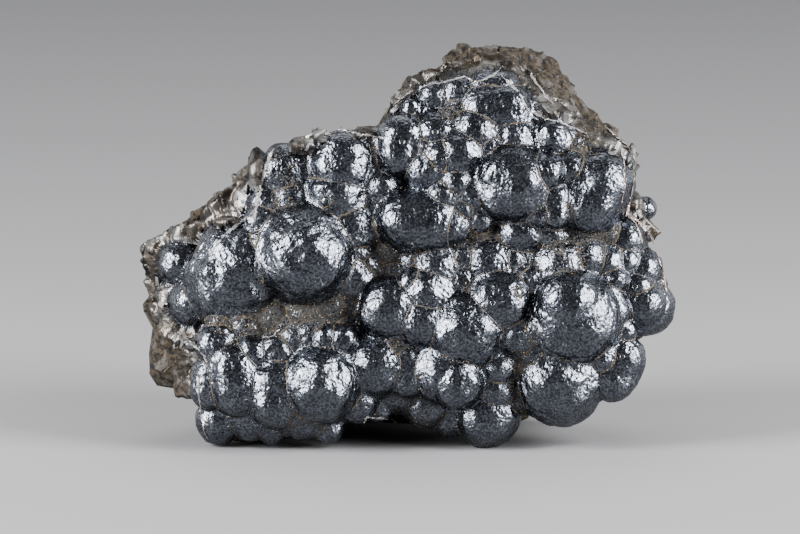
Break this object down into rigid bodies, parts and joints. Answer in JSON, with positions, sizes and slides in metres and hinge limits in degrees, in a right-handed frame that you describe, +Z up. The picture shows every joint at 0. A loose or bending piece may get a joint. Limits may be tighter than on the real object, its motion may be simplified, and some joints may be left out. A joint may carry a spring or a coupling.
{
  "type": "botryoidal goethite mineral specimen",
  "caption": "Broken lump of metallic black goethite: round bubbles meeting in creases on the front, angular broken rims and a rough rocky back; stands on its own as a display piece.",
  "frame": {"origin": "centre of the footprint box, on the ground plane the lump stands on", "axes": "+Z up; the lump's long side runs along X; the bubbly display face looks along -Y and the rough broken back along +Y"},
  "size_m": [0.1076, 0.0523, 0.078],
  "materials": {
    "goethite_skin": "near-black blue-grey metallic lustre on the bubbles, duller grey fracture faces and brown earthy crust on the broken rims and back"
  },
  "bodies": {
    "root": {"goethite": "goethite_skin"}
  },
  "joints": []
}
